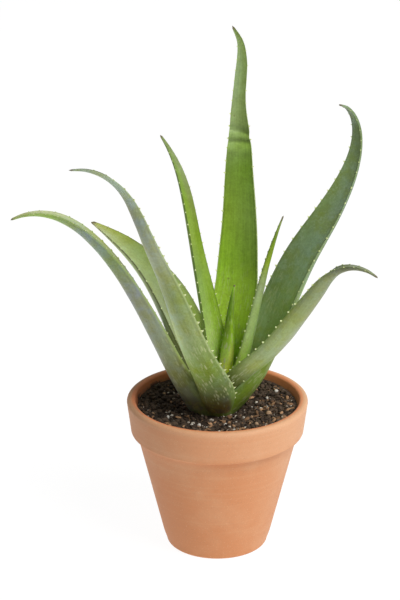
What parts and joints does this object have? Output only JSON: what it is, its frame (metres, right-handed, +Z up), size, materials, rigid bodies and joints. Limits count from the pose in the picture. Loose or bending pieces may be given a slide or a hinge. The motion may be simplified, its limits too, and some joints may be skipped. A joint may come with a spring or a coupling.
{
  "type": "potted aloe plant",
  "caption": "Rosette of long toothed fleshy aloe leaves rooted in dark potting soil in a round terracotta pot with a rolled collar.",
  "frame": {"origin": "on the surface that the pot stands on, under the middle of the whole outline; the pot's axis is 20.5 mm to +X and 3.4 mm to +Y of it", "axes": "+Z up, +X to the viewer's right and -Y towards the viewer of the plant's front"},
  "size_m": [0.2912, 0.1588, 0.4337],
  "materials": {
    "terracotta": "matte",
    "potting_soil": "matte",
    "aloe_stem": "matte",
    "aloe_leaf": "satin",
    "aloe_leaf_young": "satin",
    "aloe_root": "matte",
    "grit_tan": "matte",
    "grit_pale": "matte"
  },
  "bodies": {
    "root": {"pot": "terracotta", "soil": "potting_soil", "stem": "aloe_stem", "leaf_centre_shoot": "aloe_leaf_young", "leaf_upright_left": "aloe_leaf_young", "leaf_narrow_right": "aloe_leaf_young", "leaf_tallest": "aloe_leaf_young", "leaf_front_right": "aloe_leaf", "leaf_tall_right": "aloe_leaf", "leaf_front_left": "aloe_leaf", "leaf_back_left": "aloe_leaf_young", "leaf_far_left": "aloe_leaf", "root_1": "aloe_root", "root_2": "aloe_root", "root_3": "aloe_root", "root_4": "aloe_root", "root_5": "aloe_root", "root_6": "aloe_root", "grit_1": "grit_tan", "grit_2": "grit_tan", "grit_3": "grit_pale", "grit_4": "grit_pale", "grit_5": "grit_pale", "grit_6": "grit_pale", "grit_7": "grit_tan", "grit_8": "grit_tan", "grit_9": "grit_pale", "grit_10": "grit_tan", "grit_11": "grit_pale", "grit_12": "grit_tan"}
  },
  "joints": []
}
